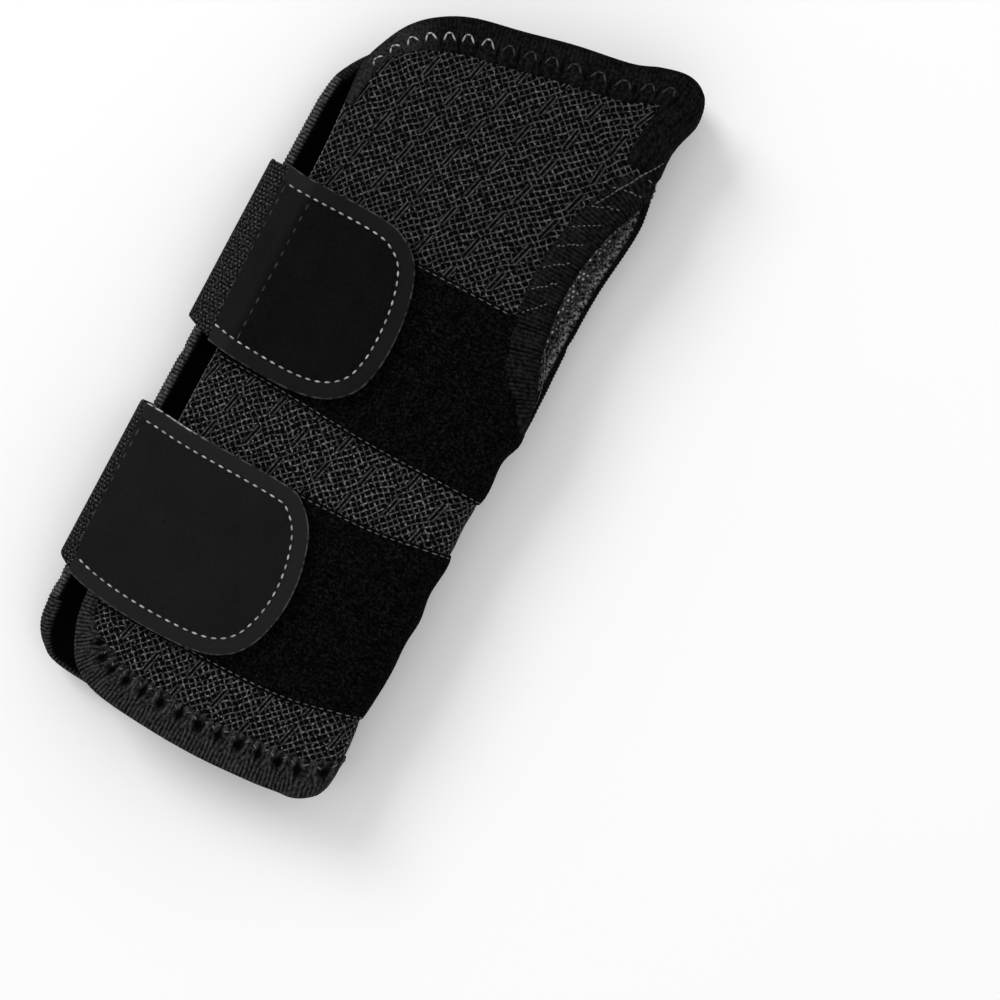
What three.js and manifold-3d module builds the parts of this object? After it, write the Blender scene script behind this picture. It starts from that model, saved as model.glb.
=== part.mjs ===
// A wrap-round wrist guard for the left hand, lying closed on its palm side.
// A padded wrap folds round the thumb side, with a thumb hole cut in the fold. Two 50 mm straps come
// round the open side and hook on to loop bands. A metal stay slides into a pocket under the palm.
//
// Frame, in millimetres: +X towards the thumb, +Y towards the fingers, +Z from the palm side to the
// back of the hand. The origin is under the middle of the guard, on the surface it lies on.

import * as THREE from "three";
import { mergeVertices } from "three/addons/utils/BufferGeometryUtils.js";
import Module from "manifold-3d";

const wasm = await Module();
wasm.setup();

// ---------------------------------------------------------------- driving dimensions

const GAP = 0.3; // clearance between neighbouring pieces
const SHELL = 0.8; // outer cloth
const FOAM = 1.8;
const LINING = 0.8;
const TAPE = 0.8; // binding tape over the raw edges
const HALF = FOAM / 2 + GAP + SHELL; // from the middle of the foam to either face of the wrap
const TRIM = TAPE + GAP; // how far the wrap stops short of the outline, inside the tape

const HALF_LENGTH = 108.4; // cuff edge to finger edge, from the origin
const PALM_Z = 6.0; // middle of the palm-side foam
const FOLD_R = 7.5; // radius of the thumb-side fold, at the middle of the foam
const SEAM_Z = PALM_Z + FOLD_R; // the height at which the two leaves meet in the fold
const FOLD_X = 33.4; // centre of the fold at the cuff
const FLARE = 0.078 / (2 * HALF_LENGTH); // the wrap widens towards the fingers on the thumb side
const SEAM_ANGLE = THREE.MathUtils.degToRad(2); // half of the clearance between the leaves

const LIP_X = -34.3; // where the palm leaf starts to curl up on the open side
const LIP_R = 7.0;
const LIP_END = THREE.MathUtils.degToRad(207);
const LIP_TAPE_Z = 7.4; // how far down the lip its tape reaches
const EDGE_TAPE = 3.2; // width of the tape on the upper leaf's open side
const EDGE_TOP_Y = 72; // where the open side's tape meets the finger tape
const CUFF_TAPE_Y = -98.5; // where the cuff tape starts

const LOOP_UPPER = [-16.9, 31.5]; // the two loop bands, low and high edge
const LOOP_LOWER = [-85, -35];
const LOOP_TAIL_X = 18; // where the bands stop on the palm side

const WEB = 1.2; // elastic strap
const TAB = 0.9; // nubuck facing of a strap end
const HOOK = 0.9;
const HOOK_START_X = -22; // where the hook patches start, clear of the edge tape
const STRAP_LIFT = HALF + GAP + HOOK + GAP + WEB / 2; // middle of the strap, above the foam
const STRAP_FOLD = { x: -46.6, z: 12.8 }; // where a strap turns round the open side
const STRAP_ROOT_X = -16; // where a strap is sewn down on the palm side
const STRAPS = [
  { name: "upper", low: -13, high: 38, reach: 4.8, tabStart: -39.7, foldLow: -8.5 },
  { name: "lower", low: -84.2, high: -34, reach: 12.1, tabStart: -43.4, foldLow: -79.5 },
];

const STAY = { x: 1, width: 20, thickness: 1.5, low: -86, high: 74 };
const POCKET = { ply: 0.8, wall: 1, flange: 3, slack: 0.3, low: -88, high: 78 };

const FAR = 62; // beyond the wrap on every side, for cutting shapes
const END = HALF_LENGTH + 10;
const BELOW = -5;
const ABOVE = 60;

// ---------------------------------------------------------------- materials

const cloth = (color, roughness) =>
  new THREE.MeshStandardMaterial({ color, roughness, metalness: 0 });
const JACQUARD = cloth(0x2b2b2d, 0.85);
const KNIT = cloth(0x1a1a1b, 0.9);
const VELOUR = cloth(0x0b0b0c, 1.0);
const FOAM_PAD = cloth(0x3a3a3c, 0.95);
const SPACER = cloth(0x4b4b4e, 0.9);
const ELASTIC = cloth(0x1c1c1e, 0.85);
const NUBUCK = cloth(0x17171a, 0.7);
const HOOK_TAPE = cloth(0x101012, 0.6);
const ALUMINIUM = new THREE.MeshStandardMaterial({
  color: 0xb9bcc0,
  roughness: 0.4,
  metalness: 1,
});

// ---------------------------------------------------------------- solids

function solidOf(geometry) {
  const bare = new THREE.BufferGeometry();
  bare.setAttribute("position", geometry.getAttribute("position"));
  if (geometry.index) bare.setIndex(geometry.index);
  const merged = mergeVertices(bare, 1e-4);
  return new wasm.Manifold(
    new wasm.Mesh({
      numProp: 3,
      vertProperties: new Float32Array(merged.attributes.position.array),
      triVerts: new Uint32Array(merged.index.array),
    }),
  );
}

function meshOf(name, solid, material) {
  const { vertProperties, numProp, numVert, triVerts } = solid.getMesh();
  const position = new Float32Array(numVert * 3);
  for (let i = 0; i < numVert; i++)
    position.set(vertProperties.subarray(i * numProp, i * numProp + 3), i * 3);
  const geometry = new THREE.BufferGeometry();
  geometry.setAttribute("position", new THREE.BufferAttribute(position, 3));
  geometry.setIndex(new THREE.BufferAttribute(new Uint32Array(triVerts), 1));
  geometry.computeVertexNormals();
  const mesh = new THREE.Mesh(geometry, material);
  mesh.name = name;
  return mesh;
}

// A polygon pulled into a solid. `across` says which axes the polygon's x and y and the pull take.
function pulled(points, from, to, across) {
  const geometry = new THREE.ExtrudeGeometry(new THREE.Shape(points), {
    depth: to - from,
    bevelEnabled: false,
    steps: 1,
  });
  geometry.translate(0, 0, from);
  return geometry.applyMatrix4(across);
}

const UP = new THREE.Matrix4();
const TO_THUMB = new THREE.Matrix4().makeBasis(
  new THREE.Vector3(0, 1, 0),
  new THREE.Vector3(0, 0, 1),
  new THREE.Vector3(1, 0, 0),
);
const FROM_FINGERS = new THREE.Matrix4().makeBasis(
  new THREE.Vector3(1, 0, 0),
  new THREE.Vector3(0, 0, 1),
  new THREE.Vector3(0, -1, 0),
);

const plan = (points, z0 = BELOW, z1 = ABOVE) => solidOf(pulled(points, z0, z1, UP));
const side = (points) => solidOf(pulled(points, 24, FAR, TO_THUMB));

// A cross-section (x across, z up) run the whole length of the guard, widened on the thumb side towards
// the fingers.
function along(section) {
  const geometry = pulled(section, -END, END, FROM_FINGERS);
  const position = geometry.getAttribute("position");
  for (let i = 0; i < position.count; i++) {
    const widened = 1 + FLARE * (position.getY(i) + HALF_LENGTH);
    if (position.getX(i) > 0) position.setX(i, position.getX(i) * widened);
  }
  return solidOf(geometry);
}

const box = (x0, x1, y0, y1, z0 = BELOW, z1 = ABOVE) =>
  plan(rectangle(x0, x1, y0, y1), z0, z1);
const rectangle = (x0, x1, y0, y1) => [
  new THREE.Vector2(x0, y0),
  new THREE.Vector2(x1, y0),
  new THREE.Vector2(x1, y1),
  new THREE.Vector2(x0, y1),
];

// An anticlockwise polygon moved out by d, or in by -d.
function grown(points, d) {
  return points.map((p, i) => {
    const before = points[(i + points.length - 1) % points.length];
    const after = points[(i + 1) % points.length];
    const a = p.clone().sub(before).normalize();
    const b = after.clone().sub(p).normalize();
    const normalA = new THREE.Vector2(a.y, -a.x);
    const normalB = new THREE.Vector2(b.y, -b.x);
    const reach = d / (1 + normalA.dot(normalB));
    return p.clone().addScaledVector(normalA.add(normalB), reach);
  });
}

// ---------------------------------------------------------------- outlines, seen from above

const CURVE_STEPS = 8;

// The leaf on the back of the hand, with the thumb hole let into its thumb side.
function dorsalOutline() {
  const s = new THREE.Path();
  s.moveTo(-36.3, -84);
  s.bezierCurveTo(-36.3, -97, -31, -105.4, -22, -106.4); // open corner of the cuff
  s.quadraticCurveTo(4, -110.4, 33, -105.4); // cuff edge
  s.quadraticCurveTo(43.4, -104, 43.8, -94); // folded corner of the cuff
  s.lineTo(FAR, -92);
  s.lineTo(FAR, 8);
  s.lineTo(46.5, 8.2);
  s.bezierCurveTo(41, 15, 36.6, 26, 36.5, 40); // thumb hole
  s.bezierCurveTo(36.4, 55, 38.5, 66.5, 43, 72.4);
  s.lineTo(FAR, 73);
  s.lineTo(FAR, 96);
  s.lineTo(47.6, 97);
  s.bezierCurveTo(47.6, 104, 43, 109.6, 36.5, 108.2); // finger edge, thumb corner
  s.bezierCurveTo(26, 104.3, 5, 100.7, -10, 97.3);
  s.bezierCurveTo(-26, 93.2, -36, 86, -38.3, 72); // finger edge, open corner
  s.bezierCurveTo(-38, 60, -35, 50, -34.9, 36);
  s.lineTo(-34.9, -20);
  return distinct(s.getPoints(CURVE_STEPS));
}

// The leaf under the palm. Its open side ends in the lip, so the outline runs clear of it there.
function palmOutline() {
  const s = new THREE.Path();
  s.moveTo(-45.2, -84);
  s.bezierCurveTo(-44.6, -98, -40, -102.6, -22, -106.4);
  s.quadraticCurveTo(4, -110.4, 33, -105.4);
  s.quadraticCurveTo(43.4, -104, 43.8, -94);
  s.lineTo(FAR, -92);
  s.lineTo(FAR, 96);
  s.lineTo(47.6, 97);
  s.bezierCurveTo(47.6, 104, 43, 109.6, 36.5, 108.2);
  s.bezierCurveTo(26, 104.3, 5, 100.7, -10, 97.3);
  s.bezierCurveTo(-25, 94, -41, 76, -43.4, 56);
  s.lineTo(-45.2, 48);
  s.lineTo(-FAR, 47);
  s.lineTo(-FAR, -83);
  return distinct(s.getPoints(CURVE_STEPS));
}

// Drops points that repeat the one before them.
function distinct(points) {
  return points.filter(
    (p, i) =>
      p.distanceTo(points[(i + points.length - 1) % points.length]) > 1e-3,
  );
}

// The finger-end tape covers the finger edge and the whole thumb-side corner.
function fingerTapeArea() {
  const s = new THREE.Path();
  s.moveTo(-FAR, 72.3);
  s.lineTo(-35.2, 72.3);
  s.bezierCurveTo(-33, 80, -27, 84.6, -16.5, 86.9);
  s.lineTo(21, 94.4);
  s.bezierCurveTo(29, 96, 31, 94, 31.6, 88);
  s.lineTo(34.6, 79.3);
  s.lineTo(FAR, 79.3);
  s.lineTo(FAR, END);
  s.lineTo(-FAR, END);
  return distinct(s.getPoints(CURVE_STEPS));
}

// The gathered tape round the thumb hole, widest at the middle of the hole.
function thumbTapeArea() {
  const s = new THREE.Path();
  s.moveTo(FAR, 4.7);
  s.lineTo(FAR, 79);
  s.lineTo(34.6, 79);
  s.bezierCurveTo(30, 70, 27.2, 60, 27.2, 42);
  s.bezierCurveTo(27.2, 24, 36, 9, 46, 4.7);
  return distinct(s.getPoints(CURVE_STEPS));
}

// The thumb hole seen from the thumb side (y along, z up): it dips into the palm leaf.
function thumbDip() {
  const s = new THREE.Path();
  s.moveTo(8.2, 15.2);
  s.bezierCurveTo(12, 13.4, 16, 10.6, 26, 10.4);
  s.lineTo(56, 10.4);
  s.bezierCurveTo(65, 10.6, 69, 13.4, 72.6, 15.2);
  s.lineTo(72.6, 40);
  s.lineTo(8.2, 40);
  return distinct(s.getPoints(CURVE_STEPS));
}

// ---------------------------------------------------------------- cross-section of the wrap

// The middle of the foam, from the lip under the palm to the seam in the fold.
const palmPath = new THREE.Path();
palmPath.absarc(LIP_X, PALM_Z + LIP_R, LIP_R, LIP_END, 1.5 * Math.PI, false);
palmPath.lineTo(FOLD_X, PALM_Z);
palmPath.absarc(
  FOLD_X,
  SEAM_Z,
  FOLD_R,
  1.5 * Math.PI,
  2 * Math.PI - SEAM_ANGLE,
  false,
);

// The middle of the foam, from the seam over the back of the hand to the open side.
const dorsalPath = new THREE.Path();
dorsalPath.absarc(FOLD_X, SEAM_Z, FOLD_R, SEAM_ANGLE, Math.PI / 2, false);
dorsalPath.bezierCurveTo(8, 23.1, -20, 22.9, -40.5, 15.4);


// A section's outline between two offsets from a path, outside positive, with `before` and `after`
// running on straight past its two ends.
function band(path, inner, outer, before = 0, after = 0) {
  const count = Math.max(6, Math.round(path.getLength() / 3.4));
  const spine = [];
  for (let i = 0; i <= count; i++) {
    const tangent = path.getTangentAt(i / count);
    spine.push({ at: path.getPointAt(i / count), tangent });
  }
  if (before)
    spine.unshift({
      at: spine[0].at.clone().addScaledVector(spine[0].tangent, -before),
      tangent: spine[0].tangent,
    });
  const last = spine[spine.length - 1];
  if (after)
    spine.push({
      at: last.at.clone().addScaledVector(last.tangent, after),
      tangent: last.tangent,
    });
  const offset = (d) =>
    spine.map(
      ({ at, tangent }) =>
        new THREE.Vector2(at.x + tangent.y * d, at.y - tangent.x * d),
    );
  return [...offset(outer), ...offset(inner).reverse()];
}

// ---------------------------------------------------------------- the wrap

const dorsalPlan = dorsalOutline();
const palmPlan = palmOutline();
const dorsalTrim = plan(grown(dorsalPlan, -TRIM));
const palmTrim = plan(grown(palmPlan, -TRIM));
const dip = thumbDip();
const dipTrim = side(grown(dip, TRIM));

const shellBand = [FOAM / 2 + GAP, HALF];
const foamBand = [-FOAM / 2, FOAM / 2];
const liningBand = [-HALF, -FOAM / 2 - GAP];

const dorsalPly = ([inner, outer]) =>
  along(band(dorsalPath, inner, outer)).intersect(dorsalTrim);
const palmPly = ([inner, outer]) =>
  along(band(palmPath, inner, outer)).intersect(palmTrim).subtract(dipTrim);

// The outer cloth of the back-of-hand leaf, from the cuff up: cloth and loop bands by turns.
function dorsalPanels() {
  const shell = dorsalPly(shellBand);
  const strip = (y0, y1) =>
    shell.intersect(box(-FAR, FAR, y0 + GAP / 2, y1 - GAP / 2));
  return [
    meshOf("cuff_panel", strip(-END, LOOP_LOWER[0]), JACQUARD),
    meshOf("lower_loop_band", strip(...LOOP_LOWER), VELOUR),
    meshOf("wrist_panel", strip(LOOP_LOWER[1], LOOP_UPPER[0]), JACQUARD),
    meshOf("upper_loop_band", strip(...LOOP_UPPER), VELOUR),
    meshOf("hand_panel", strip(LOOP_UPPER[1], END), JACQUARD),
  ];
}

// The outer cloth of the palm leaf, and the ends of the loop bands that come round the fold on to it.
function palmPanels() {
  const shell = palmPly(shellBand);
  const tail = (range, d) =>
    box(LOOP_TAIL_X - d, FAR, range[0] - d, range[1] + d);
  const cloth = shell
    .subtract(tail(LOOP_LOWER, GAP / 2))
    .subtract(tail(LOOP_UPPER, GAP / 2));
  return [
    meshOf("palm_panel", cloth, JACQUARD),
    meshOf(
      "lower_loop_tail",
      shell.intersect(tail(LOOP_LOWER, -GAP / 2)),
      VELOUR,
    ),
    meshOf(
      "upper_loop_tail",
      shell.intersect(tail(LOOP_UPPER, -GAP / 2)),
      VELOUR,
    ),
  ];
}

// Tape wrapped over the raw edges: the wrap grown by the tape, less the wrap and its clearance.
const TAPE_OUT = HALF + TRIM;
const TAPE_IN = HALF + GAP;

function dorsalTape() {
  const outside = along(band(dorsalPath, -TAPE_OUT, TAPE_OUT)).intersect(plan(dorsalPlan));
  const inside = along(band(dorsalPath, -TAPE_IN, TAPE_IN, 1, 1)).intersect(
    plan(grown(dorsalPlan, -TAPE)),
  );
  return outside.subtract(inside);
}

function palmTape() {
  const outside = along(band(palmPath, -TAPE_OUT, TAPE_OUT, TRIM, 0))
    .intersect(plan(palmPlan))
    .subtract(side(dip));
  const inside = along(band(palmPath, -TAPE_IN, TAPE_IN, GAP, 1))
    .intersect(plan(grown(palmPlan, -TAPE)))
    .subtract(side(grown(dip, TAPE)));
  return outside.subtract(inside);
}

const fingerArea = plan(fingerTapeArea());
const thumbArea = plan(thumbTapeArea());
const cuffArea = box(-FAR, FAR, -END, CUFF_TAPE_Y);
const openSideArea = box(-FAR, -20, CUFF_TAPE_Y + GAP, EDGE_TOP_Y);

function dorsalTapes() {
  const tape = dorsalTape();
  const edge = openSideArea.subtract(plan(grown(dorsalPlan, -EDGE_TAPE)));
  return [
    meshOf("dorsal_finger_tape", tape.intersect(fingerArea), KNIT),
    meshOf("dorsal_cuff_tape", tape.intersect(cuffArea), KNIT),
    meshOf("dorsal_thumb_tape", tape.intersect(thumbArea), KNIT),
    meshOf("dorsal_edge_tape", tape.intersect(edge), KNIT),
  ];
}

function palmTapes() {
  const tape = palmTape();
  const lip = box(-FAR, LIP_X, CUFF_TAPE_Y + GAP, EDGE_TOP_Y, LIP_TAPE_Z);
  return [
    meshOf("palm_finger_tape", tape.intersect(fingerArea), KNIT),
    meshOf("palm_cuff_tape", tape.intersect(cuffArea), KNIT),
    meshOf("palm_thumb_tape", tape.intersect(thumbArea), KNIT),
    meshOf("palm_edge_tape", tape.intersect(lip), KNIT),
  ];
}

// ---------------------------------------------------------------- straps

// A point off a path at a fraction of its length, outside positive.
function besidePath(path, fraction, offset) {
  const tangent = path.getTangentAt(fraction);
  const at = path.getPointAt(fraction);
  return new THREE.Vector2(at.x + tangent.y * offset, at.y - tangent.x * offset);
}

// The middle of a strap under the palm, from where it is sewn down to just short of the fold.
const anchorZ = PALM_Z - HALF - GAP - WEB / 2;
const anchorPath = new THREE.Path();
anchorPath.moveTo(STRAP_ROOT_X, anchorZ);
anchorPath.lineTo(-34, anchorZ);
anchorPath.bezierCurveTo(
  -42.5, anchorZ, STRAP_FOLD.x, 5.5, STRAP_FOLD.x, STRAP_FOLD.z - WEB / 2 - GAP / 2,
);

// The middle of a strap over the back of the hand, from just past the fold to beyond its free end.
const LAID_FROM = 0.95; // fractions of the upper leaf's section that a strap lies on
const LAID_TO = 0.36;
const LAID_POINTS = 9;
const laid = [];
for (let i = 0; i <= LAID_POINTS; i++)
  laid.push(
    besidePath(dorsalPath, THREE.MathUtils.lerp(LAID_FROM, LAID_TO, i / LAID_POINTS), STRAP_LIFT),
  );
const strapPath = new THREE.Path();
strapPath.moveTo(STRAP_FOLD.x, STRAP_FOLD.z + GAP / 2);
strapPath.bezierCurveTo(
  STRAP_FOLD.x, STRAP_FOLD.z + 4, laid[0].x - 4, laid[0].y - 2.2, laid[0].x, laid[0].y,
);
strapPath.splineThru(laid.slice(1));

// A strap's outline from above: straight edges, a rounded free end, and a lower edge that is drawn in
// at the fold.
function strapOutline({ low, high, reach, foldLow }, from, inset) {
  const end = reach - inset;
  const middle = (low + high) / 2;
  const s = new THREE.Path();
  s.moveTo(from, foldLow + inset);
  s.lineTo(-45, foldLow + inset);
  s.quadraticCurveTo(-37, low + inset, -24, low + inset);
  s.lineTo(end - 19, low + inset);
  s.bezierCurveTo(end - 6, low + inset, end, middle - 14, end, middle);
  s.bezierCurveTo(end, middle + 14, end - 5, high - inset, end - 19, high - inset);
  s.lineTo(from, high - inset);
  return distinct(s.getPoints(CURVE_STEPS));
}

// The pieces of one strap. Paths run the other way over the back of the hand, so its layers lie at
// negative offsets there.
function strapPieces(strap) {
  const { name, low, high, reach, tabStart, foldLow } = strap;
  const layer = (path, inner, outer) =>
    solidOf(pulled(band(path, inner, outer), -END, END, FROM_FINGERS));
  const beyond = reach + 20;
  const outline = plan(strapOutline(strap, -FAR, 0));
  const web = layer(strapPath, -WEB / 2, WEB / 2).intersect(outline);
  const tabArea = outline.intersect(box(tabStart, beyond, low, high));
  const tab = layer(strapPath, -WEB / 2 - GAP - TAB, -WEB / 2 - GAP).intersect(tabArea);
  const hookArea = plan(strapOutline(strap, -FAR, 1.6)).intersect(
    box(HOOK_START_X, beyond, low, high),
  );
  const hook = layer(strapPath, WEB / 2 + GAP, WEB / 2 + GAP + HOOK).intersect(hookArea);
  const anchor = layer(anchorPath, -WEB / 2, WEB / 2).intersect(box(-FAR, FAR, foldLow, high));
  return [
    meshOf(name + "_strap_web", web, ELASTIC),
    meshOf(name + "_strap_tab", tab, NUBUCK),
    meshOf(name + "_strap_hook", hook, HOOK_TAPE),
    meshOf(name + "_strap_anchor", anchor, ELASTIC),
  ];
}

// ---------------------------------------------------------------- stay and pocket

// A flat tray sewn on under the palm, open towards the wrap and at the cuff end.
function stayPocket() {
  const { ply, wall, flange, slack, low, high } = POCKET;
  const top = PALM_Z - HALF - GAP;
  const inner = STAY.width / 2 + slack;
  const outer = inner + wall + flange;
  const body = box(STAY.x - outer, STAY.x + outer, low, high, 0, top);
  const room = box(STAY.x - inner, STAY.x + inner, low - 1, STAY.high + slack, ply, top + 1);
  return meshOf("stay_pocket", body.subtract(room), KNIT);
}

// A flat bar with round ends.
function stay() {
  const r = STAY.width / 2;
  const s = new THREE.Path();
  s.absarc(STAY.x, STAY.low + r, r, Math.PI, 2 * Math.PI, false);
  s.absarc(STAY.x, STAY.high - r, r, 0, Math.PI, false);
  const bottom = POCKET.ply + GAP;
  const bar = plan(distinct(s.getPoints(10)), bottom, bottom + STAY.thickness);
  return meshOf("palm_stay", bar, ALUMINIUM);
}

// ---------------------------------------------------------------- assembly

const palmLeaf = new THREE.Group();
palmLeaf.add(
  ...palmPanels(),
  meshOf("palm_foam", palmPly(foamBand), FOAM_PAD),
  meshOf("palm_lining", palmPly(liningBand), SPACER),
  ...palmTapes(),
  stayPocket(),
);

const dorsalLeaf = new THREE.Group();
dorsalLeaf.add(
  ...dorsalPanels(),
  meshOf("dorsal_foam", dorsalPly(foamBand), FOAM_PAD),
  meshOf("dorsal_lining", dorsalPly(liningBand), SPACER),
  ...dorsalTapes(),
);

const guard = new THREE.Group();
guard.add(palmLeaf, dorsalLeaf, stay());
for (const strap of STRAPS) guard.add(...strapPieces(strap));
export default guard;
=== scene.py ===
"""A wrap-round wrist guard for the left hand, lying closed on its palm side, seen from above.

Shapes are worked out in millimetres and made in metres. Cloth is laid on a Section: s runs along a curve
in the X-Z plane, y along the guard and n out of the cloth. s, y are also the cloth's own flat pattern.
"""

import math
from functools import partialmethod

import bpy
import numpy as np
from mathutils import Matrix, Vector
from mathutils.geometry import delaunay_2d_cdt


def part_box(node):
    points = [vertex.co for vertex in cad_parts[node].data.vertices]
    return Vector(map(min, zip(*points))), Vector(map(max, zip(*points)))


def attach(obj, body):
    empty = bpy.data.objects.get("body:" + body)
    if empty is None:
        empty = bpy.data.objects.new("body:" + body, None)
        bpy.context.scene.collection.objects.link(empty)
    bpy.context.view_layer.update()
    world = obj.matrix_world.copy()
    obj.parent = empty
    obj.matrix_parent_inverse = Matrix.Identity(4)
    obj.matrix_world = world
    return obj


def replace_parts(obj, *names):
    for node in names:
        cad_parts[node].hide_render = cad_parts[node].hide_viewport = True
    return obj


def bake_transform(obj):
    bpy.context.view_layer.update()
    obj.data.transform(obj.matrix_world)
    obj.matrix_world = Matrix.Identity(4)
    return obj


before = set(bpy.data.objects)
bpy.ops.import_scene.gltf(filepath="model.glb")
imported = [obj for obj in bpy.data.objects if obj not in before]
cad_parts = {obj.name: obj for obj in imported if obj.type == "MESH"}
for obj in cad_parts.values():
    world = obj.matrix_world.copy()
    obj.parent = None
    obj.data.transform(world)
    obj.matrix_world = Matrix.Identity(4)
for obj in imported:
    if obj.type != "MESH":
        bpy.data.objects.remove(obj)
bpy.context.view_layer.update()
rng = np.random.default_rng(7)

MM = 0.001
UV_UNIT = 10.0  # millimetres of cloth to one unit of the cloth's UV map


# ---------------------------------------------------------------- curves


def smooth(points, closed=False, step=1.0):
    """A curve through the points, in steps of about `step`."""
    p = np.array(points, float)
    if closed:
        p = np.vstack([p[-1], p, p[0], p[1]])
    else:
        p = np.vstack([2 * p[0] - p[1], p, 2 * p[-1] - p[-2]])
    run = []
    for a, b, c, d in zip(p, p[1:], p[2:], p[3:]):
        k = max(2, int(math.ceil(np.linalg.norm(c - b) / step)))
        t = (np.arange(k) / k)[:, None]
        square, cube = a - 2.5 * b + 2 * c - 0.5 * d, 1.5 * b - 0.5 * a - 1.5 * c + 0.5 * d
        run.append(b + 0.5 * t * (c - a) + t**2 * square + t**3 * cube)
    return np.vstack(run if closed else [*run, p[-2]])


def lengths(line):
    """How far along a line each of its points is."""
    return np.concatenate([[0], np.cumsum(np.linalg.norm(np.diff(line, axis=0), axis=1))])


def even(line, step):
    """The same line with points `step` apart."""
    at = lengths(line)
    count = max(2, int(round(at[-1] / step)) + 1)
    to = np.linspace(0, at[-1], count)
    return np.stack([np.interp(to, at, line[:, k]) for k in range(line.shape[1])], 1)


def softened(values, width, closed=False):
    """Values with a running average over `width` neighbours each way."""
    kernel = np.hanning(2 * width + 3)[1:-1]
    kernel /= kernel.sum()
    pad = [(width, width)] + [(0, 0)] * (values.ndim - 1)
    v = np.pad(values, pad, mode="wrap" if closed else "edge")
    return np.apply_along_axis(lambda c: np.convolve(c, kernel, "valid"), 0, v)


def arc(x, z, r, a0, a1, count=24):
    """Points of an arc, with its angles in degrees."""
    a = np.radians(np.linspace(a0, a1, count))
    return np.stack([x + r * np.cos(a), z + r * np.sin(a)], 1)


def bezier(p0, p1, p2, p3, count=40):
    p0, p1, p2, p3 = (np.array(p, float) for p in (p0, p1, p2, p3))
    t = np.linspace(0, 1, count)[:, None]
    return (1 - t) ** 3 * p0 + 3 * t * (1 - t) ** 2 * p1 + 3 * t**2 * (1 - t) * p2 + t**3 * p3


def edge_distance(points, loops):
    """How far each point is from the nearest edge of any loop."""
    best = np.full(len(points), 1e9)
    for loop in loops:
        a, b = loop, np.roll(loop, -1, 0)
        ab = b - a
        size = np.maximum((ab**2).sum(1), 1e-12)
        for k in range(0, len(points), 4000):
            ap = points[k : k + 4000, None] - a
            t = np.clip((ap * ab).sum(2) / size, 0, 1)
            gap = np.linalg.norm(ap - t[..., None] * ab, axis=2).min(1)
            best[k : k + 4000] = np.minimum(best[k : k + 4000], gap)
    return best


def inside(points, loop):
    """Which points lie inside a loop."""
    x, y = points[:, 0], points[:, 1]
    found = np.zeros(len(points), bool)
    for (ax, ay), (bx, by) in zip(loop, np.roll(loop, -1, 0)):
        crosses = (ay > y) != (by > y)
        if crosses.any() and ay != by:
            found ^= crosses & (x < ax + (y - ay) / (by - ay) * (bx - ax))
    return found


def unit(vectors):
    return vectors / np.maximum(np.linalg.norm(vectors, axis=-1, keepdims=True), 1e-9)


def inset(loop, d):
    """An anticlockwise loop moved inwards by d."""
    turn = unit(loop - np.roll(loop, 1, 0)) + unit(np.roll(loop, -1, 0) - loop)
    return loop + unit(np.stack([-turn[:, 1], turn[:, 0]], 1)) * d


def within(points, loops):
    """Which points lie inside the first loop and outside the others."""
    found = inside(points, loops[0])
    for hole in loops[1:]:
        found &= ~inside(points, hole)
    return found


def signed_area(loop):
    """A loop's area, negative where it runs clockwise."""
    x, y = loop[:, 0], loop[:, 1]
    return (x * np.roll(y, -1) - y * np.roll(x, -1)).sum() / 2


def step01(x, low, high):
    """0 below low, 1 above high, smooth between."""
    t = np.clip((x - low) / (high - low), 0, 1)
    return t * t * (3 - 2 * t)


# ---------------------------------------------------------------- sections


class Section:
    """A curve in the X-Z plane run along Y. `bend` moves its points and `relief` lifts the cloth on it."""

    def __init__(self, line, zero=None, soften=5, bend=None, relief=None, outward=1):
        line = softened(even(line, 0.25), soften)
        self.line = line
        at = lengths(line)
        start = 0.0 if zero is None else at[np.linalg.norm(line - zero, axis=1).argmin()]
        self.s = at - start
        tangent = unit(np.gradient(line, axis=0))
        self.normal = np.stack([tangent[:, 1], -tangent[:, 0]], 1) * outward
        self.bend, self.relief = bend, relief

    def value(self, s, column):
        """A column of the line at s, run on straight past its ends."""
        slope = np.diff(column) / np.diff(self.s)
        before, after = np.minimum(s - self.s[0], 0), np.maximum(s - self.s[-1], 0)
        return np.interp(s, self.s, column) + before * slope[0] + after * slope[-1]

    def at(self, s, y, n):
        """Points in millimetres."""
        s, y, n = (np.asarray(v, float) for v in np.broadcast_arrays(s, y, n))
        x, z = (self.value(s, self.line[:, k]) for k in (0, 1))
        nx, nz = (np.interp(s, self.s, self.normal[:, k]) for k in (0, 1))
        if self.relief:
            n = self.relief(s, y, n)
        if self.bend:
            x, z = self.bend(x, y, z)
        return np.stack([x + nx * n, y, z + nz * n], -1)


# ---------------------------------------------------------------- the wrap's section, as in the CAD

PALM_Z, FOLD_R, FOLD_X = 6.0, 7.5, 33.4
SEAM_Z = PALM_Z + FOLD_R
LIP_X, LIP_R = -36.3, 7.0
HALF = 2.0  # from the middle of the wrap to its faces
SEAM = np.array([FOLD_X + FOLD_R, SEAM_Z])

wrap_line = np.vstack(
    [
        arc(LIP_X, PALM_Z + LIP_R, LIP_R, 190, 270),
        arc(FOLD_X, SEAM_Z, FOLD_R, -90, 90),
        bezier((FOLD_X, SEAM_Z + FOLD_R), (10, 23.4), (-20, 23.0), (-39.5, 15.6))[1:],
    ]
)

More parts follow.
